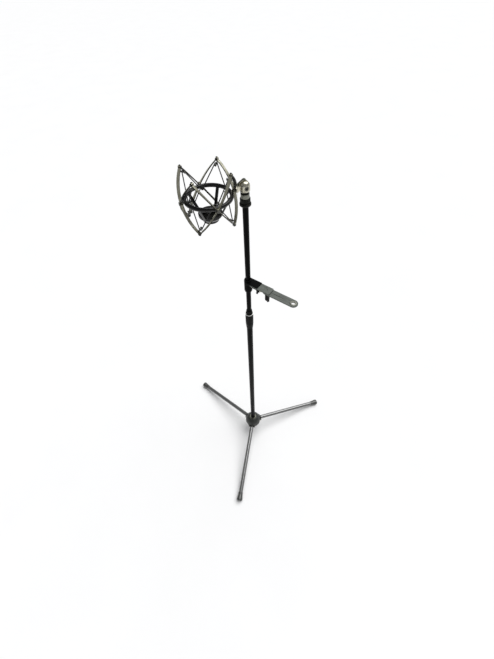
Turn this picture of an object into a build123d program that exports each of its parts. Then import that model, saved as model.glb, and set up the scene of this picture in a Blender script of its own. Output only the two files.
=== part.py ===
"""Floor microphone stand with an elastic suspension cage and a clamp-on accessory arm.

Millimetres, +Z up. The origin is on the floor, on the axis of the post. One leg points along -Y.
The head pieces are drawn with the cage along +X and turned to HEAD_AZIMUTH, and the accessory
arm is drawn along +X and turned to ARM_AZIMUTH.
"""
import os
from math import atan, cos, degrees, radians, sin, sqrt, tan

from build123d import *

# ---- driving dimensions -------------------------------------------------------------------
LEG_AZIMUTHS = (-90, 30, 150)
HEAD_AZIMUTH = -145.6
ARM_AZIMUTH = -25

# base and legs
HUB_Z = 88.6                # centre of the cast ball
HUB_R = 42.0
HUB_TOP = 37.5              # flat top above the ball's centre
HUB_BOTTOM = 31.5           # flat bottom below the ball's centre
LEG_REACH = 420.0           # post axis to the end of a foot
LEG_TIP_Z = 12.2            # height of the leg axis at the end of the foot
LEG_R = 10.5
LEG_WALL = 1.2
LEG_PIVOT_R = 34.0
LEG_TUBE_START = 13.0       # from the pivot, along the leg
SLOT_HALF = 11.0
SLOT_GAP = 0.4
EAR_WIDTH = 6.5
EAR_R = 12.0
HINGE_PIN_R = 3.0
PIN_HEAD_R = 7.0
FOOT_LENGTH = 40.0
FOOT_R = 15.0

# post
LOWER_R = 11.0
LOWER_WALL = 1.2
LOWER_START = 62.0
LOWER_END = 965.0
UPPER_R = 8.0
UPPER_WALL = 1.0
UPPER_START = 590.0
UPPER_END = 1441.0
CLUTCH_R = 14.0
CLUTCH_START = 957.0
GRIP_START = 984.0
GRIP_END = 1034.5
CONE_END = 1050.0
STUD_R = 4.75

# head
PIVOT_Z = 1488.0            # tilt axis
FORK_R = 13.0
FORK_BASE_R = 11.0
FORK_SLOT = 4.2             # half width
TONGUE_R = 8.5
TONGUE_HALF = 3.3
BOLT_R = 3.0

# cage
CAGE_X = 92.0               # post axis to cage axis
CAGE_Z = 1485.5             # level of the ring and of the band crossings
APEX_R = 61.6
APEX_Z = 59.1
NODE_R = 64.6
BAND_WIDTH = 7.6            # strip width, in the radial direction
BAND_THICK = 3.0
FOLD_R = 3.4                # outside of the bends at tips and crossings
SEAM = 0.05                 # from the middle plane to each band at a crossing
RING_R = 54.8
RING_TUBE_R = 4.8
HOOK_R = 56.0               # radius and height of the cord hooks under the band tips
HOOK_Z = 49.0
CORD_R = 1.3
CORD_BEND = 3.5             # bend radius of the elastic round a hook or peg
RING_PEG_R = 2.1
HOOK_PEG_R = 1.7
CUP_R = 29.5
CUP_TOP = -39.0
CUP_BOTTOM = -52.0

# accessory clamp and arm
CLAMP_Z = 1148.0            # underside of the clamp ring
CLAMP_TOP = 1190.0
CLAMP_R = 12.8
LINER_R = 10.2
SCREW_Z = 1166.0            # clamp screw axis
PLATE_HALF = 14.5
ROOT_Z = 1182.0             # underside of the root plate
PLATE_THICK = 4.0
BAR_Z = 1177.8              # underside of the swinging bar
BLOCK_SCREW_X = 24.0
BLOCK_END = 43.5
LIP = 2.5                   # block above and below the root plate
ARM_PIVOT = 72.0
ARM_HOLE = 163.0

# clearances
RUN = 0.05                  # running fit between a shaft and its bore
SLIP = 0.2                  # between faces that pass each other


# ---- shared shapes ------------------------------------------------------------------------
def lathe(*points):
    """Solid of revolution about Z from an outline of (radius, height) points."""
    outline = make_face(Polyline(*points, close=True))
    return revolve(Plane.XZ * outline, Axis.Z)


def tube(outer, inner, low, high):
    return lathe((inner, low), (outer, low), (outer, high), (inner, high))


def rod(radius, start, end):
    """Round bar from one point to another."""
    start, end = Vector(*start), Vector(*end)
    run = end - start
    place = Plane(origin=start, z_dir=run)
    return place * Cylinder(radius, run.length, align=(Align.CENTER, Align.CENTER, Align.MIN))


def block(x0, x1, y0, y1, z0, z1):
    return Pos((x0 + x1) / 2, (y0 + y1) / 2, (z0 + z1) / 2) * Box(x1 - x0, y1 - y0, z1 - z0)


def flute(shape, count, radius, cutter_r, low, high):
    """Cut evenly spaced upright flutes round a turned grip."""
    for index in range(count):
        angle = radians(360 * index / count)
        x, y = radius * cos(angle), radius * sin(angle)
        shape -= rod(cutter_r, (x, y, low), (x, y, high))
    return shape


def polar(radius, azimuth, height):
    return Vector(radius * cos(radians(azimuth)), radius * sin(radians(azimuth)), height)


def save(name, shape):
    """Write one node."""
    shape = shape.moved(Location())
    shape.label = name
    export_step(shape, f"parts/{name}.step")


# ---- base ---------------------------------------------------------------------------------
LEG_SLOPE = degrees(atan((HUB_Z - LEG_TIP_Z) / LEG_REACH))
LEG_PIVOT_Z = HUB_Z - LEG_PIVOT_R * tan(radians(LEG_SLOPE))
LEG_LENGTH = (LEG_REACH - LEG_PIVOT_R) / cos(radians(LEG_SLOPE))
HUB_FLAT_R = sqrt(HUB_R ** 2 - HUB_TOP ** 2)


def leg_slot():
    """Space in the hub for one leg, from its working slope down to hanging straight."""
    rise = LEG_R + SLOT_GAP
    slope = radians(LEG_SLOPE)
    top = Vector(LEG_PIVOT_R + rise * sin(slope), LEG_PIVOT_Z + rise * cos(slope))
    far = top + Vector(cos(slope), -sin(slope)) * 50
    inner = LEG_PIVOT_R - rise
    floor = HUB_Z - 2 * HUB_R
    outline = Polyline(
        (inner, floor), (far.X, floor), (far.X, far.Y), (top.X, top.Y), (LEG_PIVOT_R, LEG_PIVOT_Z),
        (inner, LEG_PIVOT_Z), close=True)
    wedge = extrude(Plane.XZ * make_face(outline), SLOT_HALF, both=True)
    barrel = rod(rise, (LEG_PIVOT_R, -SLOT_HALF, LEG_PIVOT_Z), (LEG_PIVOT_R, SLOT_HALF, LEG_PIVOT_Z))
    return wedge + barrel


def hub_ears():
    """The pair of lugs that hold one hinge pin."""
    outside = SLOT_HALF + EAR_WIDTH
    plate = rod(EAR_R, (LEG_PIVOT_R, -outside, LEG_PIVOT_Z), (LEG_PIVOT_R, outside, LEG_PIVOT_Z))
    web = block(15, LEG_PIVOT_R, -outside, outside, LEG_PIVOT_Z - EAR_R, LEG_PIVOT_Z + EAR_R)
    return plate + web


def hub_body():
    ball = Pos(0, 0, HUB_Z) * Sphere(HUB_R)
    for azimuth in LEG_AZIMUTHS:
        ball += Rot(0, 0, azimuth) * hub_ears()
    ball -= block(-60, 60, -60, 60, HUB_Z + HUB_TOP, HUB_Z + 60)
    ball -= block(-60, 60, -60, 60, HUB_Z - 60, HUB_Z - HUB_BOTTOM)
    reach = SLOT_HALF + EAR_WIDTH + 1
    for azimuth in LEG_AZIMUTHS:
        pin = rod(HINGE_PIN_R, (LEG_PIVOT_R, -reach, LEG_PIVOT_Z), (LEG_PIVOT_R, reach, LEG_PIVOT_Z))
        ball -= Rot(0, 0, azimuth) * (leg_slot() + pin)
        for side in (-1, 1):
            ball -= Rot(0, 0, azimuth) * pin_head(side, PIN_HEAD_R + 0.3, 12)
    ball -= tube(LOWER_R, 0, LOWER_START, HUB_Z + 60)
    return ball


def hub_collar():
    low = HUB_Z + HUB_TOP
    return lathe((LOWER_R, low), (HUB_FLAT_R + 0.5, low), (HUB_FLAT_R + 0.5, low + 3),
                 (HUB_FLAT_R - 2, low + 6.5), (LOWER_R, low + 6.5))


def hub_bottom_cap():
    low = HUB_Z - HUB_BOTTOM
    return lathe((0, low - 3), (18.5, low - 3), (21.5, low - 1), (21.5, low), (0, low))


def pin_head(side, radius, depth):
    """Disc on the outside face of one lug."""
    outside = SLOT_HALF + EAR_WIDTH
    return rod(radius, (LEG_PIVOT_R, side * outside, LEG_PIVOT_Z),
               (LEG_PIVOT_R, side * (outside + depth), LEG_PIVOT_Z))


def hinge_pin():
    outside = SLOT_HALF + EAR_WIDTH
    pin = rod(HINGE_PIN_R, (LEG_PIVOT_R, -outside, LEG_PIVOT_Z), (LEG_PIVOT_R, outside, LEG_PIVOT_Z))
    return pin + pin_head(-1, PIN_HEAD_R, 2) + pin_head(1, PIN_HEAD_R, 2)


# ---- legs ---------------------------------------------------------------------------------
def place_leg(shape, azimuth):
    """Put a piece drawn along +X from the hinge pin at its working slope and azimuth."""
    return Rot(0, 0, azimuth) * (Pos(LEG_PIVOT_R, 0, LEG_PIVOT_Z) * (Rot(0, LEG_SLOPE, 0) * shape))


def leg_knuckle():
    bore = LEG_R - LEG_WALL
    half = SLOT_HALF - 0.3
    barrel = rod(LEG_R, (0, -half, 0), (0, half, 0))
    neck = rod(LEG_R, (0, 0, 0), (LEG_TUBE_START, 0, 0))
    spigot = rod(bore, (LEG_TUBE_START, 0, 0), (LEG_TUBE_START + 26, 0, 0))
    hole = rod(HINGE_PIN_R + RUN, (0, -half - 1, 0), (0, half + 1, 0))
    return barrel + neck + spigot - hole


def leg_tube():
    end = LEG_LENGTH - 6
    outer = rod(LEG_R, (LEG_TUBE_START, 0, 0), (end, 0, 0))
    return outer - rod(LEG_R - LEG_WALL, (LEG_TUBE_START - 1, 0, 0), (end + 1, 0, 0))


def leg_foot(azimuth):
    """Flared rubber foot with its sole ground flat on the floor."""
    start = LEG_LENGTH - FOOT_LENGTH
    shape = lathe((LEG_R, start), (LEG_R + 1.2, start), (LEG_R + 1.6, start + 12),
                  (FOOT_R, LEG_LENGTH - 9), (FOOT_R, LEG_LENGTH - 2), (FOOT_R - 2, LEG_LENGTH),
                  (0, LEG_LENGTH), (0, LEG_LENGTH - 6), (LEG_R, LEG_LENGTH - 6))
    foot = place_leg(Rot(0, 90, 0) * shape, azimuth)
    return foot - block(-600, 600, -600, 600, -50, 0)


# ---- post ---------------------------------------------------------------------------------
def clutch_body():
    inner = UPPER_R + SLIP
    neck = CLUTCH_R - 3.4
    return lathe((LOWER_R, CLUTCH_START), (LOWER_R + 1, CLUTCH_START), (CLUTCH_R, GRIP_START - 2),
                 (CLUTCH_R, GRIP_START), (neck, GRIP_START), (neck, 1020), (inner, 1020),
                 (inner, LOWER_END), (LOWER_R, LOWER_END))


def clutch_collet():
    """Split tapered ring that the grip squeezes onto the upper tube."""
    ring = lathe((UPPER_R + RUN, 1020.5), (10.2, 1020.5), (10.2, 1024), (8.8, 1045), (UPPER_R + RUN, 1045))
    return ring - block(0, 20, -0.8, 0.8, 1019, 1046)


def clutch_sleeve():
    neck = CLUTCH_R - 3.4 + RUN
    low = GRIP_START + SLIP
    shape = lathe((neck, low), (CLUTCH_R, low), (CLUTCH_R, GRIP_END - 2.5), (12.6, GRIP_END - 2.5),
                  (12.6, GRIP_END), (11.2, GRIP_END + 5), (9.9, CONE_END), (UPPER_R + 0.6, CONE_END),
                  (UPPER_R + 1.1, 1046), (neck, 1024.5))
    return flute(shape, 18, CLUTCH_R + 1.0, 1.6, low + 5, GRIP_END - 7)


def clutch_rim():
    return tube(CLUTCH_R + 0.3, 12.6, GRIP_END - 2.5, GRIP_END)


def guide_bush():
    bore = LOWER_R - LOWER_WALL
    ring = tube(bore - 0.1, UPPER_R, UPPER_START, UPPER_START + 22)
    return ring - block(0, 20, -1, 1, UPPER_START - 1, UPPER_START + 23)


def top_stud():
    plug = UPPER_R - UPPER_WALL
    return lathe((0, UPPER_END - 26), (plug, UPPER_END - 26), (plug, UPPER_END), (UPPER_R, UPPER_END),
                 (UPPER_R, UPPER_END + 2), (STUD_R, UPPER_END + 2), (STUD_R, UPPER_END + 21),
                 (STUD_R - 1, UPPER_END + 22), (0, UPPER_END + 22))


def lock_ring():
    low = UPPER_END
    shape = lathe((UPPER_R + 0.1, low), (13.5, low), (15, low + 1.5), (15, low + 6), (14, low + 7.5),
                  (STUD_R, low + 7.5), (STUD_R, low + 2), (UPPER_R + 0.1, low + 2))
    return flute(shape, 24, 15.6, 1.2, low - 1, low + 9)


# ---- head ---------------------------------------------------------------------------------
ADAPTER_LOW = UPPER_END + 8.5
ADAPTER_TOP = PIVOT_Z - 16
KNURL_R = 13.2
KNURL_TOP = ADAPTER_LOW + 11.5


def adapter_sleeve():
    """Sleeve on the top thread: a knurled grip below a smooth neck."""
    bore = STUD_R + RUN
    shape = lathe((bore, ADAPTER_LOW), (KNURL_R - 0.6, ADAPTER_LOW), (KNURL_R, ADAPTER_LOW + 0.6),
                  (KNURL_R, KNURL_TOP - 0.8), (KNURL_R - 0.8, KNURL_TOP), (FORK_BASE_R + 0.3, KNURL_TOP),
                  (FORK_BASE_R + 0.3, ADAPTER_TOP), (0, ADAPTER_TOP), (0, ADAPTER_TOP - 8),
                  (bore, ADAPTER_TOP - 8))
    return flute(shape, 34, KNURL_R + 0.5, 0.9, ADAPTER_LOW - 1, KNURL_TOP + 1)


def pan_washer():
    return tube(10.5, STUD_R + 0.4, UPPER_END + 7.5, ADAPTER_LOW - 0.1)


def swivel_fork():
    """Domed fork: two ears with the cage tongue between them."""
    low, top = ADAPTER_TOP, PIVOT_Z + 14
    outline = Polyline((0, low), (FORK_BASE_R, low), (FORK_BASE_R, PIVOT_Z - 11),
                       (FORK_R, PIVOT_Z - 8.5), (FORK_R, PIVOT_Z + 3))
    dome = ThreePointArc((FORK_R, PIVOT_Z + 3), (FORK_R * 0.74, PIVOT_Z + 11), (4, top))
    close = Polyline((4, top), (0, top), (0, low))
    shape = revolve(Plane.XZ * make_face(Curve() + [outline, dome, close]), Axis.Z)
    shape -= block(-20, 20, -FORK_SLOT, FORK_SLOT, PIVOT_Z - 12.5, top + 5)
    shape -= rod(BOLT_R + RUN, (0, -20, PIVOT_Z), (0, 20, PIVOT_Z))
    shape -= rod(5.2, (0, 9.5, PIVOT_Z), (0, 20, PIVOT_Z))
    shape -= rod(6.4, (0, -20, PIVOT_Z), (0, -11.5, PIVOT_Z))
    return shape


def tilt_washer(side):
    low, high = side * (TONGUE_HALF + 0.1), side * FORK_SLOT
    washer = rod(7.5, (0, low, PIVOT_Z), (0, high, PIVOT_Z))
    return washer - rod(BOLT_R + 0.2, (0, side * -1, PIVOT_Z), (0, side * 6, PIVOT_Z))


def pivot_bolt():
    """Clamp bolt with a hexagon socket in its near end."""
    bolt = rod(BOLT_R, (0, -18, PIVOT_Z), (0, 10, PIVOT_Z))
    bolt += rod(5, (0, 9.7, PIVOT_Z), (0, 12.6, PIVOT_Z))
    socket = extrude(RegularPolygon(2.6, 6), 3)
    return bolt - Plane(origin=(0, 12.7, PIVOT_Z), z_dir=(0, -1, 0)) * socket


def tilt_lever():
    """Oval paddle on the far end of the clamp bolt."""
    boss = rod(6.1, (0, -11.8, PIVOT_Z), (0, -18, PIVOT_Z))
    paddle = extrude(Pos(3, 0) * SlotOverall(33, 12), 5.5)
    paddle = fillet(paddle.edges().filter_by(GeomType.LINE).filter_by(Axis.X), 1.2)
    slope = radians(-31.5)
    place = Plane(origin=(0, -17, PIVOT_Z), x_dir=(cos(slope), 0, sin(slope)), z_dir=(0, -1, 0))
    lever = boss + place * paddle
    return lever - rod(BOLT_R, (0, -10, PIVOT_Z), (0, -18, PIVOT_Z))


def cage_bracket():
    """Tongue in the fork, a short arm, and a boss against the band crossing."""
    boss_end = CAGE_X - NODE_R - BAND_WIDTH / 2 - 0.1
    shape = rod(TONGUE_R, (0, -TONGUE_HALF, PIVOT_Z), (0, TONGUE_HALF, PIVOT_Z))
    shape += block(0, 18, -TONGUE_HALF, TONGUE_HALF, PIVOT_Z - 6, PIVOT_Z + 2.5)
    shape += block(17.5, 21.5, -6.5, 6.5, PIVOT_Z - 6.5, PIVOT_Z + 3)
    shape += rod(6.5, (21, 0, CAGE_Z), (boss_end, 0, CAGE_Z))
    shape -= rod(BOLT_R + RUN, (0, -9, PIVOT_Z), (0, 9, PIVOT_Z))
    shape -= rod(2, (18, 0, CAGE_Z), (40, 0, CAGE_Z))
    return shape


# ---- cage ---------------------------------------------------------------------------------
def place_cage(shape):
    """Put a piece drawn about the cage centre on the head."""
    return Rot(0, 0, HEAD_AZIMUTH) * (Pos(CAGE_X, 0, CAGE_Z) * shape)


def hook_stem(azimuth, side):
    """Stem that carries a cord hook, riveted through the fold of a band tip."""
    foot = polar(APEX_R, azimuth, side * HOOK_Z)
    stem = rod(1.3, foot, polar(APEX_R, azimuth, side * (APEX_Z + FOLD_R)))
    return stem + rod(1.3, polar(HOOK_R + 2, azimuth, side * HOOK_Z), polar(APEX_R + 1.3, azimuth, side * HOOK_Z))


def strip_section(path, share):
    """Section of a strip, its width turned to face away from the cage's axis."""
    point, run = path @ share, path % share
    out = Vector(point.X, point.Y, 0).normalized()
    across = (out - run * out.dot(run)).normalized()
    return Plane(origin=point, x_dir=across, z_dir=run) * SlotOverall(BAND_WIDTH, BAND_THICK)


def fold(radius, azimuth, height):
    """Round bend across the strip."""
    half = BAND_WIDTH / 2 - 0.3
    return rod(FOLD_R, polar(radius - half, azimuth, height), polar(radius + half, azimuth, height))


def upper_band():
    """Springy strip bent into a closed wave: four high tips and four bends at the crossings."""
    shape = None
    for azimuth in range(45, 405, 90):
        for turn in (-1, 1):
            path = ThreePointArc(polar(APEX_R, azimuth, APEX_Z), polar(NODE_R, azimuth + turn * 45, 0),
                                 polar(APEX_R, azimuth + turn * 90, -APEX_Z))
            strip = loft([strip_section(path, share) for share in (0, 0.13, 0.26, 0.39, 0.52)])
            shape = strip if shape is None else shape + strip
        shape += fold(APEX_R, azimuth, APEX_Z) + fold(NODE_R, azimuth + 45, SEAM)
    shape -= block(-90, 90, -90, 90, -20, SEAM)
    for azimuth in range(45, 405, 90):
        shape -= hook_stem(azimuth, 1)
        shape -= rod(2, polar(40, azimuth + 45, 0), polar(80, azimuth + 45, 0))
    return shape


def rivet(azimuth):
    inner, outer = NODE_R - BAND_WIDTH / 2 - 0.1, NODE_R + BAND_WIDTH / 2 + 0.1
    shank = rod(2, polar(inner - 0.5, azimuth, 0), polar(outer + 1, azimuth, 0))
    head = rod(4, polar(outer, azimuth, 0), polar(outer + 1.8, azimuth, 0))
    return shank + head + rod(3.4, polar(inner - 0.6, azimuth, 0), polar(inner, azimuth, 0))


def bracket_screw():
    inner = NODE_R - BAND_WIDTH / 2 - 0.1
    shank = rod(2, polar(inner - 0.5, 180, 0), polar(CAGE_X - 19, 180, 0))
    return shank + rod(3.4, polar(inner - 0.6, 180, 0), polar(inner, 180, 0))


def cord_hook(azimuth, side):
    """Small hook that stands inward from a band tip: stem, peg and end stop."""
    level = side * HOOK_Z
    peg = rod(HOOK_PEG_R, polar(APEX_R + 1.7, azimuth, level), polar(HOOK_R - 4, azimuth, level))
    stop = rod(3, polar(HOOK_R - 4, azimuth, level), polar(HOOK_R - 5, azimuth, level))
    top = side * (APEX_Z + FOLD_R)
    head = rod(2.2, polar(APEX_R, azimuth, top), polar(APEX_R, azimuth, top + side * 1.2))
    return peg + stop + hook_stem(azimuth, side) + head


def ring_peg(azimuth):
    """Peg inside the ring that carries one turn of each elastic."""
    peg = rod(RING_PEG_R, polar(RING_R, azimuth, 0), polar(41.5, azimuth, 0))
    peg += rod(3.8, polar(42, azimuth, 0), polar(40.8, azimuth, 0))
    return peg - Torus(RING_R, RING_TUBE_R)


def elastic(side):
    """Endless elastic cord: over a hook, under a peg, and on round the cage."""
    peg_radius, lift = (48.6, 7.3) if side > 0 else (45.0, 7.8)
    points = []
    for azimuth in range(0, 360, 90):
        points.append(polar(peg_radius, azimuth, -side * 6.5))
        points.append(polar(HOOK_R + 2.4, azimuth + 45, side * (HOOK_Z + lift)))
    path = FilletPolyline(*points, radius=CORD_BEND, close=True)
    edge = path.edges()[0]
    section = Plane(origin=edge @ 0.5, z_dir=edge % 0.5) * Circle(CORD_R)
    return sweep(section, path=path, transition=Transition.RIGHT)


def suspension_ring():
    return Torus(RING_R, RING_TUBE_R)


def cradle_arm(azimuth):
    """Flat bar from the ring down to the rim of the cup."""
    high, low = Vector(RING_R - 3.5, 0, -1.5), Vector(CUP_R - 1.0, 0, CUP_TOP - 3)
    run = low - high
    place = Plane(origin=high, x_dir=(0, 1, 0), z_dir=run)
    bar = place * Box(7, 4, run.length, align=(Align.CENTER, Align.CENTER, Align.MIN))
    bar = bar - Torus(RING_R, RING_TUBE_R) - tube(CUP_R, 0, CUP_BOTTOM, CUP_TOP)
    return Rot(0, 0, azimuth) * bar


def mic_cup():
    """Open cup with eight flats that takes the foot of the microphone."""
    shape = lathe((CUP_R, CUP_TOP), (CUP_R, CUP_TOP - 6), (23.5, CUP_BOTTOM), (14, CUP_BOTTOM),
                  (14, CUP_BOTTOM + 4), (24, CUP_BOTTOM + 4), (24, CUP_TOP))
    for index in range(8):
        flat = block(CUP_R - 1.1, CUP_R + 5, -20, 20, CUP_BOTTOM - 1, CUP_TOP - 4)
        shape -= Rot(0, 0, 22.5 + 45 * index) * flat
    return shape


def cup_ring_nut():
    """Knurled ring nut under the cup, its boss level with the cup's floor."""
    low, top = CUP_BOTTOM - 7.4, CUP_BOTTOM + 3.8
    shape = lathe((7.94, low), (19, low), (20, low + 1), (20, CUP_BOTTOM - 0.4), (13.9, CUP_BOTTOM - 0.4),
                  (13.9, top), (7.94, top))
    return flute(shape, 24, 20.6, 1.4, low - 1, CUP_BOTTOM)


# ---- accessory clamp and arm --------------------------------------------------------------
def place_arm(shape):
    return Rot(0, 0, ARM_AZIMUTH) * shape


def clamp_liner():
    """Plastic bush that the clamp turns on."""
    low, high = CLAMP_Z - 0.3, CLAMP_TOP + 0.3
    inner = UPPER_R + RUN
    return lathe((inner, low - 3), (11.6, low - 3), (11.6, low), (LINER_R, low), (LINER_R, high),
                 (11.6, high), (11.6, high + 3), (inner, high + 3))


def clamp_body():
    """Ring round the liner, and a thin block that holds the root plate."""
    ring = tube(CLAMP_R, 0, CLAMP_Z, CLAMP_TOP)
    head = block(0, BLOCK_END, -PLATE_HALF, PLATE_HALF, ROOT_Z - LIP, ROOT_Z + PLATE_THICK + LIP)
    head = chamfer(head.edges().filter_by(Axis.Z).sort_by(Axis.X)[-2:], 1)
    shape = ring + head
    shape -= block(16, 60, -20, 20, ROOT_Z, ROOT_Z + PLATE_THICK)
    shape -= tube(LINER_R + 0.1, 0, CLAMP_Z - 5, CLAMP_TOP + 5)
    shape -= rod(3 + RUN, (5, 0, SCREW_Z), (60, 0, SCREW_Z))
    for side in (-1, 1):
        shape -= block_screw(side)
    return shape


def block_screw(side):
    """Screw from below that holds the root plate in the block."""
    x, y = BLOCK_SCREW_X, side * 9
    screw = rod(2, (x, y, ROOT_Z - LIP), (x, y, ROOT_Z + PLATE_THICK + 1.5))
    return screw + rod(3.6, (x, y, ROOT_Z - LIP - 2.2), (x, y, ROOT_Z - LIP))


def clamp_screw():
    return rod(3, (LINER_R + 0.3, 0, SCREW_Z), (50, 0, SCREW_Z))


def clamp_wing():
    """Two-winged head fixed on the clamp screw."""
    shape = rod(6, (34, 0, SCREW_Z), (44, 0, SCREW_Z))
    outline = Polyline((-4, 0), (-4.5, 12), (4.5, 12), (4, 0), (4.5, -12), (-4.5, -12), close=True)
    blade = extrude(make_face(outline), 4)
    blade = fillet(blade.edges().filter_by(Axis.Z), 1.5)
    place = Plane(origin=(37, 0, SCREW_Z), x_dir=(0, -0.6, 0.8), z_dir=(1, 0, 0))
    return shape + place * blade - rod(3, (30, 0, SCREW_Z), (60, 0, SCREW_Z))


def arm_root_plate():
    end = ARM_PIVOT + PLATE_HALF
    plate = block(16, end, -PLATE_HALF, PLATE_HALF, ROOT_Z, ROOT_Z + PLATE_THICK)
    plate = fillet(plate.edges().filter_by(Axis.Z).sort_by(Axis.X)[-2:], 3)
    plate -= block(0, 20, -11, 11, ROOT_Z - 1, ROOT_Z + 6)
    plate -= lathe((0, ROOT_Z - 1), (3, ROOT_Z - 1), (3, ROOT_Z + 1), (6, ROOT_Z + 4),
                   (6, ROOT_Z + 5), (0, ROOT_Z + 5)).moved(Location((ARM_PIVOT, 0, 0)))
    for side in (-1, 1):
        plate -= rod(2, (BLOCK_SCREW_X, side * 9, ROOT_Z - 1), (BLOCK_SCREW_X, side * 9, ROOT_Z + 6))
    return plate


def arm_bar():
    top = BAR_Z + PLATE_THICK
    bar = block(ARM_PIVOT, ARM_HOLE, -PLATE_HALF, PLATE_HALF, BAR_Z, top)
    for x in (ARM_PIVOT, ARM_HOLE):
        bar += rod(PLATE_HALF, (x, 0, BAR_Z), (x, 0, top))
    bar -= rod(3 + RUN, (ARM_PIVOT, 0, BAR_Z - 1), (ARM_PIVOT, 0, top + 1))
    return bar - rod(7.2, (ARM_HOLE, 0, BAR_Z - 1), (ARM_HOLE, 0, top + 1))


def arm_eyelet():
    top = BAR_Z + PLATE_THICK
    shape = lathe((6, BAR_Z - 1), (10.3, BAR_Z - 1), (10.3, BAR_Z), (7.2, BAR_Z), (7.2, top),
                  (10.3, top), (9.8, top + 1.2), (7.2, top + 1.6), (6, top + 1.2))
    return Pos(ARM_HOLE, 0, 0) * shape


def arm_pivot_bolt():
    shape = lathe((0, BAR_Z - 30), (3, BAR_Z - 30), (3, ROOT_Z + 1), (6, ROOT_Z + 4), (0, ROOT_Z + 4))
    return Pos(ARM_PIVOT, 0, 0) * shape


def arm_washer():
    return Pos(ARM_PIVOT, 0, 0) * tube(8, 3, BAR_Z - 1.3, BAR_Z - 0.1)


def arm_knob():
    """Thumb knob under the bar, with two thick wings."""
    top = BAR_Z - 1.5
    shape = lathe((0, top - 34), (5, top - 34), (7, top - 31), (7, top - 8), (6.2, top), (0, top))
    outline = Polyline((-14, -4), (-11.5, 22), (-7, 24), (7, 24), (11.5, 22), (14, -4), (10, -7),
                       (4, 3), (-4, 3), (-10, -7), close=True)
    wing = extrude(make_face(outline), 3.2, both=True)
    wing = fillet(wing.edges().filter_by(Axis.Z), 1.5)
    place = Plane(origin=(0, 0, top - 10), x_dir=(0.8, -0.6, 0), z_dir=(0.6, 0.8, 0))
    shape += place * wing
    shape -= rod(3 + RUN, (0, 0, top - 30), (0, 0, top + 5))
    return Pos(ARM_PIVOT, 0, 0) * shape


# ---- nodes --------------------------------------------------------------------------------
def stand_nodes():
    nodes = {
        "hub_body": hub_body(),
        "hub_collar": hub_collar(),
        "hub_bottom_cap": hub_bottom_cap(),
        "hinge_pins": Compound([Rot(0, 0, a) * hinge_pin() for a in LEG_AZIMUTHS]),
        "lower_tube": tube(LOWER_R, LOWER_R - LOWER_WALL, LOWER_START, LOWER_END),
        "clutch_body": clutch_body(),
        "clutch_collet": clutch_collet(),
        "clutch_sleeve": clutch_sleeve(),
        "clutch_rim": clutch_rim(),
        "upper_tube": tube(UPPER_R, UPPER_R - UPPER_WALL, UPPER_START, UPPER_END),
        "guide_bush": guide_bush(),
        "top_stud": top_stud(),
        "lock_ring": lock_ring(),
    }
    for number, azimuth in enumerate(LEG_AZIMUTHS, start=1):
        nodes[f"leg_knuckle_{number}"] = place_leg(leg_knuckle(), azimuth)
        nodes[f"leg_tube_{number}"] = place_leg(leg_tube(), azimuth)
        nodes[f"leg_foot_{number}"] = leg_foot(azimuth)
    return nodes


def head_nodes():
    nodes = {
        "adapter_sleeve": adapter_sleeve(),
        "pan_washer": pan_washer(),
        "swivel_fork": swivel_fork(),
        "tilt_washers": Compound([tilt_washer(-1), tilt_washer(1)]),
        "pivot_bolt": pivot_bolt(),
        "tilt_lever": tilt_lever(),
        "cage_bracket": cage_bracket(),
    }
    return {name: Rot(0, 0, HEAD_AZIMUTH) * shape for name, shape in nodes.items()}


def cage_nodes():
    tips = range(45, 405, 90)
    high_band = upper_band()
    nodes = {
        "upper_band": high_band,
        "lower_band": mirror(high_band, about=Plane.XY),
        "band_rivets": Compound([rivet(a) for a in (-90, 0, 90)]),
        "bracket_screw": bracket_screw(),
        "cord_hooks": Compound([cord_hook(a, side) for a in tips for side in (1, -1)]),
        "upper_elastic": elastic(1),
        "lower_elastic": elastic(-1),
        "suspension_ring": suspension_ring(),
        "ring_cord_pegs": Compound([ring_peg(a) for a in range(0, 360, 90)]),
        "mic_cup": mic_cup(),
        "cup_ring_nut": cup_ring_nut(),
    }
    for number, azimuth in enumerate(tips, start=1):
        nodes[f"cradle_arm_{number}"] = cradle_arm(azimuth)
    return {name: place_cage(shape) for name, shape in nodes.items()}


def arm_nodes():
    nodes = {
        "clamp_liner": clamp_liner(),
        "clamp_body": clamp_body(),
        "block_screws": Compound([block_screw(-1), block_screw(1)]),
        "clamp_screw": clamp_screw(),
        "clamp_wing": clamp_wing(),
        "arm_root_plate": arm_root_plate(),
        "arm_bar": arm_bar(),
        "arm_eyelet": arm_eyelet(),
        "arm_pivot_bolt": arm_pivot_bolt(),
        "arm_washer": arm_washer(),
        "arm_knob": arm_knob(),
    }
    return {name: place_arm(shape) for name, shape in nodes.items()}


os.makedirs("parts", exist_ok=True)
for group in (stand_nodes(), head_nodes(), cage_nodes(), arm_nodes()):
    for node, solid in group.items():
        save(node, solid)
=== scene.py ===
# %% [markdown]
# # A microphone stand with an elastic suspension cage
#
# This lesson dresses a finished engineering model: a floor stand on three tube legs, a cage of
# springy bands that holds a microphone on elastic cords, and a flat arm clamped to the post.
# The engineering model is the fixed frame. It says where everything is and how it moves. Here we
# give each piece its real surface, round its edges, and build the pieces that an engineering
# model leaves plain, such as braided cord and screw threads.
#
# The frame comes first, because every later piece reads its place from it.

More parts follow.
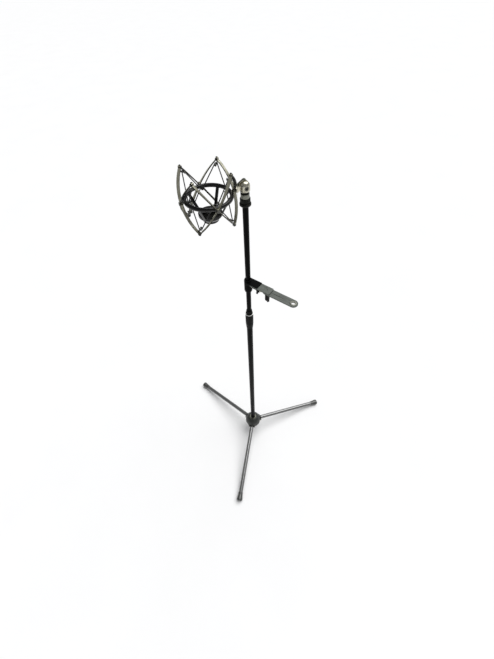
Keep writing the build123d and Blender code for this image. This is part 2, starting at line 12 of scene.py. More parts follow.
# %% Load the fixed frame
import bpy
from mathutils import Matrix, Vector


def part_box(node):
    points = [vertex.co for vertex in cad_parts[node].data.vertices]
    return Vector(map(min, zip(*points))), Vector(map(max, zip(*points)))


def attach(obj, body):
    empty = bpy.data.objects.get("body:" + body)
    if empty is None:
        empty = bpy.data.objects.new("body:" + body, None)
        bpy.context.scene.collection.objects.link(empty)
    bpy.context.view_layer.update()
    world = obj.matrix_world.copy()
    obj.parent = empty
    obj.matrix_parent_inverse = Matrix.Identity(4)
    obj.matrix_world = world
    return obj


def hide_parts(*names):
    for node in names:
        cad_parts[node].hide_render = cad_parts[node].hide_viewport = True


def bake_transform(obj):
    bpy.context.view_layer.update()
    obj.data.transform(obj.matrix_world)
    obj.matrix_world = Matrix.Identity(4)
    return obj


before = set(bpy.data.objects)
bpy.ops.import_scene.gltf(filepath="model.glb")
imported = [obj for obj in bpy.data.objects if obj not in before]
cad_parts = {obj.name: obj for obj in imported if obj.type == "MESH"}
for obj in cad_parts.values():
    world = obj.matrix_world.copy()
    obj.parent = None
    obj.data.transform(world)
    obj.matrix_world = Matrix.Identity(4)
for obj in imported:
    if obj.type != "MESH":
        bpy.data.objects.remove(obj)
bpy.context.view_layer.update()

# %% [markdown]
# ## Numbers used all the way through
#
# Blender works in metres here, and the real sizes are easier to think about in millimetres, so
# one name turns one into the other. The cage and the arm are turned away from the X axis. Their
# directions and centres are measured once and used wherever a new piece has to fit.

# %% Units, directions and centres
from math import atan2, cos, degrees, pi, radians, sin, tau

import bmesh
import bpy
from mathutils import Matrix, Vector

MM = 0.001


def middle(name):
    """Centre of a piece's box."""
    low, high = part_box(name)
    return (low + high) / 2


def polar(radius, azimuth, height=0.0):
    """Point at a radius in mm, an azimuth in degrees and a height in mm."""
    angle = radians(azimuth)
    return Vector((radius * cos(angle), radius * sin(angle), height)) * MM


cage_centre = middle("suspension_ring")
head_azimuth = degrees(atan2(cage_centre.y, cage_centre.x))
eyelet_centre = middle("arm_eyelet")
arm_azimuth = degrees(atan2(eyelet_centre.y, eyelet_centre.x))
print("cage centre", [round(v, 4) for v in cage_centre], "head at", round(head_azimuth, 1))
print("arm at", round(arm_azimuth, 1), "degrees")

# %% [markdown]
# ## The camera
#
# The viewer stands in front of the stand, a little to the right, and looks down on it from
# above head height through a wide lens. A camera looks along its own -Z with +Y up, so its turn is
# a matrix whose columns are right, up and backwards. No shift and no blur.

# %% Camera
CAMERA_PLACE = (0.1512, -0.7107, 1.8656)
CAMERA_RIGHT = (0.98217, 0.18568, -0.02941)
CAMERA_UP = (-0.12834, 0.77658, 0.61681)
CAMERA_BACK = (0.13736, -0.60204, 0.78656)

lens = bpy.data.cameras.new("lens")
lens.sensor_width = 36.0
lens.lens = 17.19
lens.clip_start = 0.05
lens.clip_end = 120.0
camera = bpy.data.objects.new("camera", lens)
turn = Matrix((CAMERA_RIGHT, CAMERA_UP, CAMERA_BACK)).transposed().to_4x4()
camera.matrix_world = Matrix.Translation(CAMERA_PLACE) @ turn
bpy.context.scene.collection.objects.link(camera)
bpy.context.scene.camera = camera
print("camera", CAMERA_PLACE, "lens", lens.lens, "mm")

# %% [markdown]
# ## Helpers for materials
#
# A material in Blender is a small graph of nodes. Three helpers keep the graphs short. `linear`
# turns a colour written the way painters and web pages write it into the linear values that
# light uses. `add` puts one node in a graph, with its settings and its links. `new_material`
# starts a graph with one Principled shader, whose constant values are set on its own sockets.

# %% Colour, node and material helpers
def linear(colour):
    """An sRGB hex colour as linear RGBA."""
    values = [int(colour[i:i + 2], 16) / 255 for i in (1, 3, 5)]
    return [v / 12.92 if v <= 0.04045 else ((v + 0.055) / 1.055) ** 2.4 for v in values] + [1.0]


def add(tree, kind, sockets=None, **settings):
    """Add a shader node. sockets holds values, or other nodes' outputs to link."""
    made = tree.nodes.new("ShaderNode" + kind)
    for name, value in settings.items():
        setattr(made, name, value)
    for key, value in (sockets or {}).items():
        if isinstance(value, bpy.types.NodeSocket):
            tree.links.new(value, made.inputs[key])
        else:
            made.inputs[key].default_value = value
    return made


def new_material(name, **constants):
    """A material with one Principled shader, and its graph."""
    material = bpy.data.materials.new(name)
    material.use_nodes = True
    tree = material.node_tree
    tree.nodes.clear()
    shader = add(tree, "BsdfPrincipled")
    for key, value in constants.items():
        shader.inputs[key.replace("_", " ")].default_value = value
    output = add(tree, "OutputMaterial", {"Surface": shader.outputs[0]})
    output.location = (300, 0)
    return material, tree, shader


MIX_A, MIX_B, MIX_RESULT = 6, 7, 2
print("helpers ready")

# %% [markdown]
# ## Patterns in real millimetres
#
# Every piece keeps its place in its own mesh, so the Object coordinate of a node is simply the
# point in metres. Multiplying it by one over the size of a grain gives a pattern of that size.
# `grain` is noise of a stated size. Stretching it along one axis makes drawn or turned marks.
# `shade` mixes two colours, `between` turns noise into a range of roughness, and `bumps` turns
# heights in millimetres into a bent surface.

# %% Pattern helpers
def grain(tree, size_mm, detail=2.0, stretch=(1, 1, 1)):
    """Noise with a feature size in mm. stretch makes features longer along an axis."""
    place = add(tree, "TexCoord").outputs["Object"]
    scale = [1 / (size_mm * MM * s) for s in stretch]
    mapped = add(tree, "Mapping", {"Vector": place, "Scale": scale})
    noise = add(tree, "TexNoise", {"Vector": mapped.outputs[0], "Scale": 1.0, "Detail": detail})
    return noise.outputs[0]


def between(tree, value, low, high, start=0.3, end=0.7):
    """A value that runs from low to high as the pattern runs from start to end."""
    made = add(tree, "MapRange", {0: value, 1: start, 2: end, 3: low, 4: high})
    return made.outputs[0]


def shade(tree, factor, first, second):
    """Colour between two colours, each a hex colour or another colour's output."""
    a = linear(first) if isinstance(first, str) else first
    b = linear(second) if isinstance(second, str) else second
    made = add(tree, "Mix", {0: factor, MIX_A: a, MIX_B: b}, data_type="RGBA")
    return made.outputs[MIX_RESULT]


def bumps(tree, shader, *layers):
    """Stack bump layers, each a (height, depth in mm) pair, on the shader's normal."""
    normal = None
    for height, depth_mm in layers:
        sockets = {"Height": height, "Distance": depth_mm * MM, "Strength": 1.0}
        if normal is not None:
            sockets["Normal"] = normal
        normal = add(tree, "Bump", sockets).outputs[0]
    tree.links.new(normal, shader.inputs["Normal"])


def edge_wear(tree, width_mm, amount):
    """Mask that is high on edges rounder than width_mm, broken up by noise."""
    rounded = add(tree, "Bevel", {"Radius": width_mm * MM}, samples=4).outputs[0]
    true = add(tree, "NewGeometry").outputs["Normal"]
    product = add(tree, "VectorMath", {0: rounded, 1: true}, operation="DOT_PRODUCT")
    match = product.outputs["Value"]
    edge = between(tree, match, amount, 0.0, 0.80, 0.97)
    patches = between(tree, grain(tree, 3.0), 0.15, 1.0)
    return add(tree, "Math", {0: edge, 1: patches}, operation="MULTIPLY").outputs[0]


def link(tree, shader, **sockets):
    """Link outputs to the shader's sockets."""
    for key, value in sockets.items():
        tree.links.new(value, shader.inputs[key.replace("_", " ")])


print("pattern helpers ready")

# %% [markdown]
# ## Enamel and powder coat
#
# The post, the legs, the hub and the clamp are steel or zinc under paint. Paint is a dielectric:
# it reflects a few percent of the light without colour, over a dark body colour. The legs have a
# hard clear skin that shows long highlights. The post is rubbed and dull, and stays black at every
# angle. Powder coat is melted dust, so it keeps the fine waves that finishers call orange peel,
# here with waves about a millimetre apart.

# %% Dull black enamel on drawn steel tube
def black_enamel():
    # Nearly black, with faint lengthwise drawing marks under the paint and hand smudges on it.
    material, tree, shader = new_material(
        "dull_black_enamel_on_steel_tube", IOR=1.45,
        Specular_IOR_Level=0.05)
    marks = grain(tree, 0.8, 3.0, (1, 1, 60))
    smudge = grain(tree, 26.0, 4.0, (1, 1, 2.5))
    link(tree, shader, Base_Color=shade(tree, between(tree, smudge, 0, 1), "#050505", "#090a09"),
         Roughness=between(tree, smudge, 0.26, 0.44))
    bumps(tree, shader, (marks, 0.012))
    return material


post_black = black_enamel()
print("made", post_black.name)

# %% Satin grey enamel on steel tube
def grey_enamel():
    # Dark body under a clear skin, so the tube goes from pale to black across its width.
    material, tree, shader = new_material(
        "satin_gunmetal_enamel_on_steel_tube", IOR=1.8, Specular_IOR_Level=1.0,
        Coat_Weight=1.0, Coat_Roughness=0.2)
    clouds = grain(tree, 18.0, 4.0)
    marks = grain(tree, 1.2, 3.0, (20, 20, 1))
    body = shade(tree, between(tree, clouds, 0, 1), "#141513", "#1e201d")
    worn = shade(tree, edge_wear(tree, 0.6, 0.6), body, "#6d6d64")
    link(tree, shader, Base_Color=worn, Roughness=between(tree, clouds, 0.26, 0.36))
    bumps(tree, shader, (marks, 0.01))
    return material


leg_grey = grey_enamel()
print("made", leg_grey.name)

# %% Powder coats
def powder_coat(name, dark, light, rough, peel_mm, worn_to, specular=0.5):
    # Orange peel in the bump, slow clouds in the colour, and bare metal starting on the edges.
    material, tree, shader = new_material(name, IOR=1.5, Specular_IOR_Level=specular)
    clouds = grain(tree, 14.0, 4.0)
    peel = grain(tree, peel_mm, 2.0)
    body = shade(tree, between(tree, clouds, 0, 1), dark, light)
    worn = shade(tree, edge_wear(tree, 0.7, 0.75), body, worn_to)
    link(tree, shader, Base_Color=worn,
         Roughness=between(tree, clouds, rough - 0.05, rough + 0.07))
    bumps(tree, shader, (peel, 0.035), (grain(tree, 6.0), 0.06))
    return material


hub_coat = powder_coat("charcoal_powder_coat_on_zinc_casting", "#222522", "#2e312d",
                       0.42, 1.1, "#6b6d66")
clamp_coat = powder_coat("satin_black_powder_coat", "#030303", "#060706",
                         0.42, 0.9, "#151513", 0.04)
lever_coat = powder_coat("olive_grey_powder_coat", "#4b4c41", "#5c5d51", 0.38, 0.9, "#9a998c")
print("made", hub_coat.name, clamp_coat.name, lever_coat.name)

# %% Grey powder coat on flat bar, with handling marks
def bar_coat():
    # The flat arm is handled and knocked, so its matt grey has darker rubs and fine scratches.
    material, tree, shader = new_material("matt_grey_powder_coat_on_flat_bar", IOR=1.5)
    clouds = grain(tree, 9.0, 5.0)
    rubs = grain(tree, 22.0, 6.0, (1.0, 0.6, 1.0))
    scratches = between(tree, grain(tree, 0.9, 6.0, (9, 2, 1)), 0, 0.35, 0.62, 0.72)
    body = shade(tree, between(tree, clouds, 0, 1), "#4f544e", "#5c615b")
    rubbed = shade(tree, between(tree, rubs, 0, 0.7, 0.5, 0.68), body, "#454a44")
    marked = shade(tree, scratches, rubbed, "#797d76")
    worn = shade(tree, edge_wear(tree, 0.7, 0.8), marked, "#85877f")
    link(tree, shader, Base_Color=worn, Roughness=between(tree, clouds, 0.48, 0.62))
    bumps(tree, shader, (grain(tree, 0.9), 0.03))
    return material


arm_grey = bar_coat()
print("made", arm_grey.name)

# %% [markdown]
# ## Bare and plated metals
#
# A bare metal reflects nearly all the light and tints it, so it is metallic 1 and its base colour
# is the colour of its reflection. What tells one from another is how the surface was made. A
# cast and plated part has a soft irregular satin. A turned part has rings round its axis. A rolled
# strip has lines along its length. Each pattern is a small bump and a change of roughness.

# %% Metals
METAL_GRIME = "#3a3833"


def metal(name, dark, light, rough, marks_mm, stretch=(1, 1, 1), depth=0.012):
    # Slow tarnish clouds over the tool marks, a little grime in the low noise.
    material, tree, shader = new_material(name, Metallic=1.0)
    clouds = grain(tree, 11.0, 5.0)
    marks = grain(tree, marks_mm, 4.0, stretch)
    body = shade(tree, between(tree, clouds, 0, 1), dark, light)
    grimy = between(tree, grain(tree, 5.0, 6.0), 0, 0.35, 0.58, 0.75)
    stained = shade(tree, grimy, body, METAL_GRIME)
    link(tree, shader, Base_Color=stained,
         Roughness=between(tree, marks, rough - 0.06, rough + 0.08))
    bumps(tree, shader, (marks, depth))
    return material


ALONG_TURNING = (40, 40, 1)     # noise that only changes along Z leaves rings round a turned part
cast_aluminium = metal("tumbled_cast_aluminium", "#c3bfae", "#dcd8c8", 0.36, 1.2)
collar_metal = metal("turned_aluminium_collar", "#4f5049", "#616258", 0.42, 0.5, ALONG_TURNING)
zinc_steel = metal("bright_zinc_plated_steel", "#c9c5b2", "#e2dfd2", 0.22, 0.6, ALONG_TURNING)
black_zinc = metal("black_zinc_plated_steel", "#4a4a46", "#5f5f5a", 0.34, 0.8)
polished_rim = metal("polished_steel_ring", "#b9bab6", "#d5d6d2", 0.16, 0.8, ALONG_TURNING, 0.004)
pressed_aluminium = metal("pressed_aluminium_eyelet", "#6b6c64", "#82837a", 0.38, 0.9)
black_oxide = metal("black_oxide_on_turned_steel", "#20201e", "#2c2c29", 0.40, 0.5, ALONG_TURNING)
print("made 7 metals")

# %% [markdown]
# Two turned pieces of the head have two colours each. The fork's dome is nickel plated and
# bright, and below it the neck is coloured near black. The sleeve's smooth band is satin grey,
# above blackened knurling. The height of a point chooses between the two colours.

# %% Metals with one finish above another
def split_finish(name, split, below, dark, light):
    """The finish changes at the height split, from one colour to a mix of two colours."""
    material, tree, shader = new_material(name, Metallic=1.0)
    height = add(tree, "SeparateXYZ", {0: add(tree, "TexCoord").outputs["Object"]}).outputs[2]
    above = between(tree, height, 0, 1, split, split + 0.4 * MM)
    clouds = between(tree, grain(tree, 11.0, 5.0), 0, 1)
    marks = grain(tree, 1.4, 3.0)
    plate = shade(tree, clouds, dark, light)
    link(tree, shader, Base_Color=shade(tree, above, below, plate),
         Roughness=between(tree, marks, 0.24, 0.38))
    bumps(tree, shader, (marks, 0.01))
    return material


FORK_NECK_HEIGHT = 6            # mm of near-black neck below the nickel dome
KNURL_HEIGHT = 11.6             # mm of blackened knurling below the grey band
fork_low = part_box("swivel_fork")[0]
sleeve_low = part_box("adapter_sleeve")[0]
# The fork is coloured near black below the neck height and nickel above it.
fork_nickel = split_finish("nickel_dome_black_below", fork_low.z + FORK_NECK_HEIGHT * MM,
                           "#131412", "#a9a696", "#c6c3b4")
sleeve_steel = split_finish("grey_band_on_blackened_knurling", sleeve_low.z + KNURL_HEIGHT * MM,
                            "#1d1e1b", "#6d6e66", "#85867d")
print("made", fork_nickel.name, sleeve_steel.name)

# %% [markdown]
# The two cage bands are spring steel strip with a black nickel plate. The strip stands on edge,
# so its broad faces look up and down. The upward faces get a painted highlight: a pale colour, as
# light from above would make them, while the edges and the undersides keep the dark plate. The
# material tells them apart by how much the surface looks up: the dot product of its normal with
# the upward direction.

# %% Black nickel on spring steel
def band_plate():
    material, tree, shader = new_material("black_nickel_on_spring_steel", Metallic=1.0)
    normal = add(tree, "TexCoord").outputs["Normal"]
    facing = add(tree, "VectorMath", {0: (0, 0, 1), 1: normal}, operation="DOT_PRODUCT")
    # Painted highlight: where the normal looks up, the plate colour turns pale grey as if lit from
    # above.
    painted_top_highlight_mask = between(tree, facing.outputs["Value"], 0, 1, 0.15, 0.6)
    clouds = grain(tree, 16.0, 4.0)
    painted_highlight_colour = shade(tree, between(tree, clouds, 0, 1), "#a3a18f", "#c9c7b5")
    plate = shade(tree, painted_top_highlight_mask, "#141512", painted_highlight_colour)
    lines = grain(tree, 0.7, 4.0, (1, 1, 14))
    link(tree, shader, Base_Color=plate, Roughness=between(tree, clouds, 0.24, 0.38))
    bumps(tree, shader, (lines, 0.008))
    return material


band_nickel = band_plate()
print("made", band_nickel.name)

# %% [markdown]
# ## Plastics, rubber and nylon
#
# Moulded nylon is a dark dielectric with a very fine spark-eroded texture from its mould, about a
# tenth of a millimetre. That is too fine to show here, so it is drawn at about half a
# millimetre. Rubber is softer and duller and holds dust. Unfilled nylon lets a little light in,
# so it gets some subsurface scattering.

# %% Plastics
def moulded(name, dark, light, rough, texture_mm, depth=0.02, specular=0.4, **extra):
    # Mould texture as bump, and faint polish where it is touched as lower roughness.
    material, tree, shader = new_material(name, IOR=1.5, Specular_IOR_Level=specular, **extra)
    touched = grain(tree, 12.0, 4.0)
    body = shade(tree, between(tree, touched, 0, 1), dark, light)
    link(tree, shader, Base_Color=body,
         Roughness=between(tree, touched, rough - 0.08, rough + 0.08))
    bumps(tree, shader, (grain(tree, texture_mm, 2.0), depth))
    return material


black_nylon = moulded("black_moulded_nylon", "#060706", "#0c0d0c", 0.46, 0.5, 0.02, 0.08)
ring_nylon = moulded("semi_gloss_black_nylon", "#050505", "#090908", 0.17, 0.6, 0.004, 0.3)
knuckle_nylon = moulded("glass_filled_nylon", "#1b1c1b", "#242523", 0.5, 0.5)
natural_nylon = moulded("natural_nylon", "#cfcbbd", "#e0ddd1", 0.42, 0.6, 0.01,
                        Subsurface_Weight=0.15, Subsurface_Radius=(0.002, 0.0016, 0.001))
foot_rubber = moulded("dark_grey_moulded_rubber", "#1d1f1b", "#2b2d28", 0.36, 0.7, 0.02, 1.0,
                       Coat_Weight=0.2, Coat_Roughness=0.25)
nut_anodised = metal("black_anodised_brass_nut", "#151514", "#21211f", 0.36, 0.5, ALONG_TURNING)
print("made 5 plastics and rubber")

# %% [markdown]
# ## Dress the frame's pieces
#
# The frame's pieces have the right shapes but knife-sharp edges. Real edges catch a thin line of
# light, so each piece gets three modifiers: one that joins the doubled points of the imported
# mesh, one that rounds every edge sharper than an angle, and one that weighs the shading by
# face size so that flat faces stay flat. Then it gets its material.

# %% Round the edges and assign materials
def soften(piece, width_mm, segments=2, angle=32):
    """Round the sharp edges of a frame piece and smooth its shading."""
    mesh = piece.data
    if "custom_normal" in mesh.attributes:
        mesh.attributes.remove(mesh.attributes["custom_normal"])
    mesh.shade_smooth()
    weld = piece.modifiers.new("join_points", "WELD")
    weld.merge_threshold = 2e-6
    bevel = piece.modifiers.new("round_edges", "BEVEL")
    bevel.width = width_mm * MM
    bevel.segments = segments
    bevel.limit_method = "ANGLE"
    bevel.angle_limit = radians(angle)
    # Known fault: the bevel throws spikes at a few corners of nine pieces, probably because
    # the overlap isn't clamped.
    bevel.use_clamp_overlap = False
    weighted = piece.modifiers.new("flat_faces", "WEIGHTED_NORMAL")
    weighted.keep_sharp = False


def dress(material, width_mm, *names):
    """Give frame pieces a material and an edge radius."""
    for name in names:
        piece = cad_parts[name]
        piece.data.materials.clear()
        piece.data.materials.append(material)
        soften(piece, width_mm)
    print(material.name, "on", ", ".join(names))


dress(hub_coat, 0.6, "hub_body")
dress(collar_metal, 0.4, "hub_collar")
dress(black_nylon, 0.4, "hub_bottom_cap", "clutch_body", "clutch_sleeve", "clamp_liner")
dress(black_nylon, 0.6, "clamp_wing", "arm_knob")
dress(zinc_steel, 0.3, "hinge_pins")
dress(black_zinc, 0.3, "pivot_bolt", "bracket_screw", "band_rivets", "block_screws")
dress(black_zinc, 0.2, "cord_hooks")
dress(post_black, 0.2, "lower_tube", "upper_tube")
dress(natural_nylon, 0.15, "clutch_collet", "guide_bush", "pan_washer", "tilt_washers")
dress(polished_rim, 0.2, "clutch_rim")
dress(zinc_steel, 0.3, "top_stud", "arm_washer")
dress(black_oxide, 0.3, "lock_ring")
dress(sleeve_steel, 0.3, "adapter_sleeve")
dress(fork_nickel, 0.5, "swivel_fork")
dress(lever_coat, 0.5, "tilt_lever")
dress(cast_aluminium, 0.5, "cage_bracket")
dress(band_nickel, 0.3, "upper_band", "lower_band")
dress(ring_nylon, 0.3, "suspension_ring", "ring_cord_pegs", "mic_cup")
dress(nut_anodised, 0.3, "cup_ring_nut")
dress(clamp_coat, 0.5, "clamp_body")
dress(arm_grey, 0.4, "arm_root_plate", "arm_bar")
dress(pressed_aluminium, 0.3, "arm_eyelet")
for number in (1, 2, 3):
    dress(leg_grey, 0.3, f"leg_tube_{number}")
    dress(knuckle_nylon, 0.4, f"leg_knuckle_{number}")
    dress(foot_rubber, 0.7, f"leg_foot_{number}")
for number in (1, 2, 3, 4):
    dress(ring_nylon, 0.5, f"cradle_arm_{number}")

# %% [markdown]
# ## Braided elastic cord
#
# Two endless elastic cords zigzag round the cage, one from the upper hooks and one from the
# lower hooks, each under a peg of the ring between two hooks. An elastic pulled tight is
# straight between its supports and bends closely round them. A curve with a round bevel would
# give a bare rubber string. The real cord has a braided sheath, so we build the tube ourselves
# and raise its surface where the two families of strands cross.

# %% Centreline of an elastic
CORD_R = 1.3
CORD_BEND = 3.5
BEND_STEPS = 5
RING_STEP = 0.45                # mm between the rings of the cord's mesh


def rounded_loop(corners, radius):
    """Closed centreline through rounded corners, as closely spaced points in mm."""
    line = []
    for index, corner in enumerate(corners):
        before = (corners[index - 1] - corner).normalized()
        after = (corners[(index + 1) % len(corners)] - corner).normalized()
        half = before.angle(after) / 2
        reach = radius * cos(half) / sin(half)
        middle_way = (before + after).normalized()
        centre = corner + middle_way * (radius / sin(half))
        first = corner + before * reach - centre
        last = corner + after * reach - centre
        for step in range(BEND_STEPS + 1):
            line.append(centre + first.slerp(last, step / BEND_STEPS) * radius)
    return line


def spaced(line, step):
    """Points at an even spacing on a closed line."""
    lengths = [(line[(i + 1) % len(line)] - p).length for i, p in enumerate(line)]
    total = sum(lengths)
    count = round(total / step)
    points, index, walked = [], 0, 0.0
    for number in range(count):
        target = total * number / count
        while walked + lengths[index] < target:
            walked += lengths[index]
            index += 1
        start, end = line[index], line[(index + 1) % len(line)]
        points.append(start.lerp(end, (target - walked) / lengths[index]))
    return points, total


print("cord bends at", CORD_BEND, "mm")

# %% Mesh of a braided cord
CORD_SIDES = 24
STRANDS = 8                     # strands in each direction
BRAID_PITCH = 9.6               # mm along the cord for one strand to go once round


def braided_mesh(name, points, total):
    """A closed tube whose surface has crossing raised strands."""
    mesh = bpy.data.meshes.new(name)
    frame_up = Vector((0, 0, 1))
    verts, count = [], len(points)
    turns = round(total / BRAID_PITCH)
    for index, point in enumerate(points):
        along = (points[(index + 1) % count] - points[index - 1]).normalized()
        side = along.cross(frame_up).normalized()
        up = side.cross(along)
        twist = tau * turns * index / count
        for number in range(CORD_SIDES):
            angle = tau * number / CORD_SIDES
            one = cos(STRANDS / 2 * (angle + twist))
            other = cos(STRANDS / 2 * (angle - twist))
            lift = max(abs(one), abs(other))
            radius = CORD_R * (0.87 + 0.13 * lift)
            offset = side * cos(angle) + up * sin(angle)
            verts.append((point + offset * radius) * MM + cage_centre)
    faces = []
    for index in range(count):
        here, there = index * CORD_SIDES, (index + 1) % count * CORD_SIDES
        for number in range(CORD_SIDES):
            nxt = (number + 1) % CORD_SIDES
            faces.append((here + number, here + nxt, there + nxt, there + number))
    mesh.from_pydata(verts, [], faces)
    mesh.shade_smooth()
    return mesh


# %% Braided sheath material
def braided_sheath():
    # Black polyester yarn with a little sheen, and a grey fleck where the yarns turn.
    material, tree, shader = new_material(
        "black_braided_polyester_sheath", Roughness=0.62, Sheen_Weight=0.25, Sheen_Roughness=0.4,
        Specular_IOR_Level=0.3)
    yarn = grain(tree, 0.35, 2.0)
    fleck = between(tree, yarn, 0, 1, 0.35, 0.75)
    link(tree, shader, Base_Color=shade(tree, fleck, "#121312", "#2b2c29"))
    bumps(tree, shader, (yarn, 0.03))
    return material


sheath = braided_sheath()
print("made", sheath.name)


# %% Both elastics
HOOK_RADIUS = 58.4              # mm from the cage's axis to the cord on a hook
HOOK_CORD_HEIGHT = 49.0         # mm from the cage's middle, before the lift on the hooks
PEG_CORD_DROP = 6.5             # mm the cord passes beyond the middle under a peg


def elastic(name, side, peg_radius, lift):
    """side is 1 for the upper elastic and -1 for the lower one."""
    corners = []
    for azimuth in range(0, 360, 90):
        low = head_azimuth + azimuth
        corners.append(polar(peg_radius, low, -side * PEG_CORD_DROP) / MM)
        corners.append(polar(HOOK_RADIUS, low + 45, side * (HOOK_CORD_HEIGHT + lift)) / MM)
    points, total = spaced(rounded_loop(corners, CORD_BEND), RING_STEP)
    piece = bpy.data.objects.new(name + "_braid", braided_mesh(name, points, total))
    bpy.context.scene.collection.objects.link(piece)
    piece.data.materials.append(sheath)
    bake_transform(piece)
    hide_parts(name)
    print(piece.name, "is", round(total), "mm round")


elastic("upper_elastic", 1, 48.6, 7.3)
elastic("lower_elastic", -1, 45.0, 7.8)

# %% [markdown]
# ## Screw threads
#
# The clamp screw is a bright threaded rod at the clamp, and the arm turns on a threaded bolt.
# Those two threads are built here, and the others are left plain. A thread is a helix: as the
# angle goes once round, the ridge moves along by one pitch. We build rings of points close
# together and make the radius of each point follow a triangle wave of angle and length together.

# %% Threaded surfaces
THREAD_SIDES = 36
STEPS_PER_PITCH = 6


def thread_radius(major, depth, pitch, along, angle):
    phase = (along / pitch - angle / tau) % 1.0
    return major - depth * abs(2 * phase - 1)


def threaded_rod(name, start, direction, length, major, depth, pitch):
    """A threaded rod with chamfered ends, closed by a cap at each end. Sizes in mm."""
    mesh = bpy.data.meshes.new(name)
    across = direction.orthogonal().normalized()
    other = direction.cross(across)
    rings = int(length / pitch * STEPS_PER_PITCH)
    verts = []
    for index in range(rings + 1):
        along = length * index / rings
        end = min(along, length - along)
        for number in range(THREAD_SIDES):
            angle = tau * number / THREAD_SIDES
            radius = min(thread_radius(major, depth, pitch, along, angle), major - depth + end)
            offset = across * cos(angle) + other * sin(angle)
            verts.append((start + direction * along + offset * radius) * MM)
    faces = [tuple(range(THREAD_SIDES))[::-1]]
    for index in range(rings):
        for number in range(THREAD_SIDES):
            nxt = (number + 1) % THREAD_SIDES
            a, b = index * THREAD_SIDES, (index + 1) * THREAD_SIDES
            faces.append((a + number, a + nxt, b + nxt, b + number))
    faces.append(tuple(rings * THREAD_SIDES + n for n in range(THREAD_SIDES)))
    mesh.from_pydata(verts, [], faces)
    mesh.shade_smooth()
    piece = bpy.data.objects.new(name, mesh)
    bpy.context.scene.collection.objects.link(piece)
    piece.data.materials.append(zinc_steel)
    return piece


SCREW_START = 10.9              # mm from the post's axis to the screw's inner end
SCREW_LENGTH = 39.0
SCREW_MAJOR, THREAD_DEPTH, THREAD_PITCH = 2.97, 0.5, 1.0
arm_way = polar(1, arm_azimuth) / MM
screw_low, screw_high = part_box("clamp_screw")
screw_z = (screw_low.z + screw_high.z) / 2 / MM
screw = threaded_rod("clamp_screw_thread", arm_way * SCREW_START + Vector((0, 0, screw_z)),
                     arm_way, SCREW_LENGTH, SCREW_MAJOR, THREAD_DEPTH, THREAD_PITCH)
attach(screw, "wing_screw")
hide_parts("clamp_screw")
print("clamp screw:", len(screw.data.vertices), "points")

# %% Arm pivot bolt with a countersunk head
def pivot_bolt_mesh():
    """Threaded shank with a cone head and a hexagon socket. Sizes in mm."""
    low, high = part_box("arm_pivot_bolt")
    centre = (low + high) / 2 / MM
    base, top = low.z / MM, high.z / MM
    shank = threaded_rod("arm_pivot_bolt_thread", Vector((centre.x, centre.y, base)),
                         Vector((0, 0, 1)), top - base - 3.0, 2.95, 0.5, 1.0)
    head = bmesh.new()
    sides = 48
    outline = [(2.9, top - 3.1), (5.9, top - 0.25), (5.7, top - 0.02), (3.1, top - 0.02)]
    rings = []
    for radius, z in outline:
        ring = [head.verts.new((Vector((centre.x + radius * cos(tau * n / sides),
                                        centre.y + radius * sin(tau * n / sides), z))) * MM)
                for n in range(sides)]
        rings.append(ring)
    socket = []
    for z in (top - 0.02, top - 2.0):
        ring = []
        for n in range(sides):
            angle = tau * n / sides
            corner = (angle + pi / 6) % (pi / 3) - pi / 6
            radius = 1.75 / cos(corner)
            ring.append(head.verts.new(Vector((centre.x + radius * cos(angle),
                                               centre.y + radius * sin(angle), z)) * MM))
        socket.append(ring)
    chain = rings + socket
    for a, b in zip(chain, chain[1:]):
        for n in range(sides):
            head.faces.new((a[n], a[(n + 1) % sides], b[(n + 1) % sides], b[n]))
    head.faces.new(chain[-1])
    head.faces.new(chain[0][::-1])
    bmesh.ops.recalc_face_normals(head, faces=head.faces)
    mesh = bpy.data.meshes.new("arm_pivot_bolt_head")
    head.to_mesh(mesh)
    head.free()
    piece = bpy.data.objects.new("arm_pivot_bolt_head", mesh)
    bpy.context.scene.collection.objects.link(piece)
    mesh.materials.append(arm_grey)
    return shank, piece


for bolt_piece in pivot_bolt_mesh():
    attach(bolt_piece, "clamp")
    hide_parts("arm_pivot_bolt")
    print(bolt_piece.name, len(bolt_piece.data.vertices), "points")

# %% [markdown]
# ## Floor
#
# The floor is a very large pale sheet, so that its far edge is never close. It is only a stage
# and isn't part of the object. Its matt white takes the soft shadows that show how the feet meet
# the ground.

# %% Floor
floor_material, floor_tree, floor_shader = new_material(
    "matt_white_studio_floor", Roughness=0.9, Specular_IOR_Level=0.1)
faint = grain(floor_tree, 400.0, 2.0)
link(floor_tree, floor_shader, Base_Color=shade(floor_tree, faint, "#f0f0f0", "#f4f4f4"))

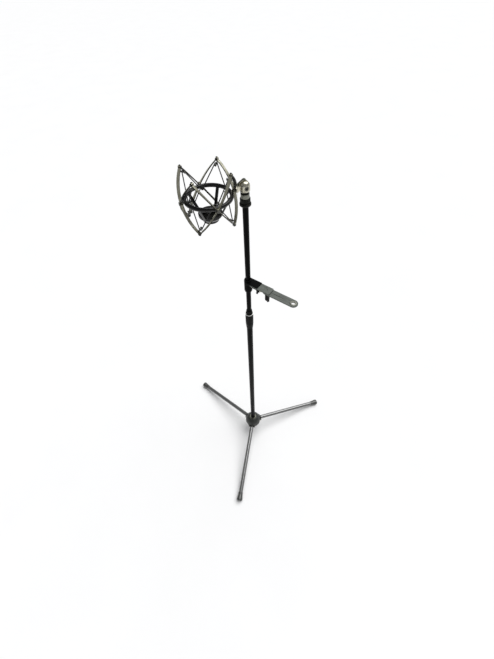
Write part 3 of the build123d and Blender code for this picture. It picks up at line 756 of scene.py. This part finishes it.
FLOOR_REACH = 40.0              # metres
FLOOR_DROP = 0.0005             # metres, so the soles don't share a plane with the floor
floor_mesh = bpy.data.meshes.new("studio_floor")
corners = [(-FLOOR_REACH, -FLOOR_REACH, 0), (FLOOR_REACH, -FLOOR_REACH, 0),
           (FLOOR_REACH, FLOOR_REACH, 0), (-FLOOR_REACH, FLOOR_REACH, 0)]
floor_mesh.from_pydata(corners, [], [(0, 1, 2, 3)])
floor_mesh.materials.append(floor_material)
floor = bpy.data.objects.new("studio_floor", floor_mesh)
floor.location.z = -FLOOR_DROP
bpy.context.scene.collection.objects.link(floor)
print("floor", 2 * FLOOR_REACH, "m square")

# %% [markdown]
# ## Light
#
# One broad, distant light stands behind the stand on the right and high up. Its reflection runs
# along the front leg and the top of the right leg, and misses the left leg, so the legs read as
# glossy tube. It is far away, so the floor is equally bright everywhere. The surroundings are an
# even pale grey that fills the shadows.

# %% World and lights
world = bpy.data.worlds.new("studio_surroundings")
bpy.context.scene.world = world
world.use_nodes = True
world.node_tree.nodes.clear()
sky = add(world.node_tree, "Background", {"Color": linear("#f7f8fa"), "Strength": 0.34})
add(world.node_tree, "OutputWorld", {"Surface": sky.outputs[0]})

def sun(name, azimuth, elevation, spread, strength):
    """A distant light with soft edges, so the floor is evenly lit out to the horizon."""
    light = bpy.data.lights.new(name, "SUN")
    light.energy = strength
    light.angle = radians(spread)
    lamp = bpy.data.objects.new(name, light)
    toward = Vector((cos(radians(elevation)) * cos(radians(azimuth)),
                     cos(radians(elevation)) * sin(radians(azimuth)), sin(radians(elevation))))
    lamp.rotation_mode = "QUATERNION"
    lamp.rotation_quaternion = toward.to_track_quat("Z", "Y")
    bpy.context.scene.collection.objects.link(lamp)
    print(name, "from azimuth", azimuth, "and elevation", elevation)


sun("key_light", 52, 64, 60, 2.85)

# %% [markdown]
# ## Colours on screen
#
# The plain display transform keeps the floor white and the paint black, as a product picture
# does.

# %% Display
view = bpy.context.scene.view_settings
view.view_transform = "Standard"
view.look = "None"
view.exposure = 0.0
print("display:", view.view_transform)
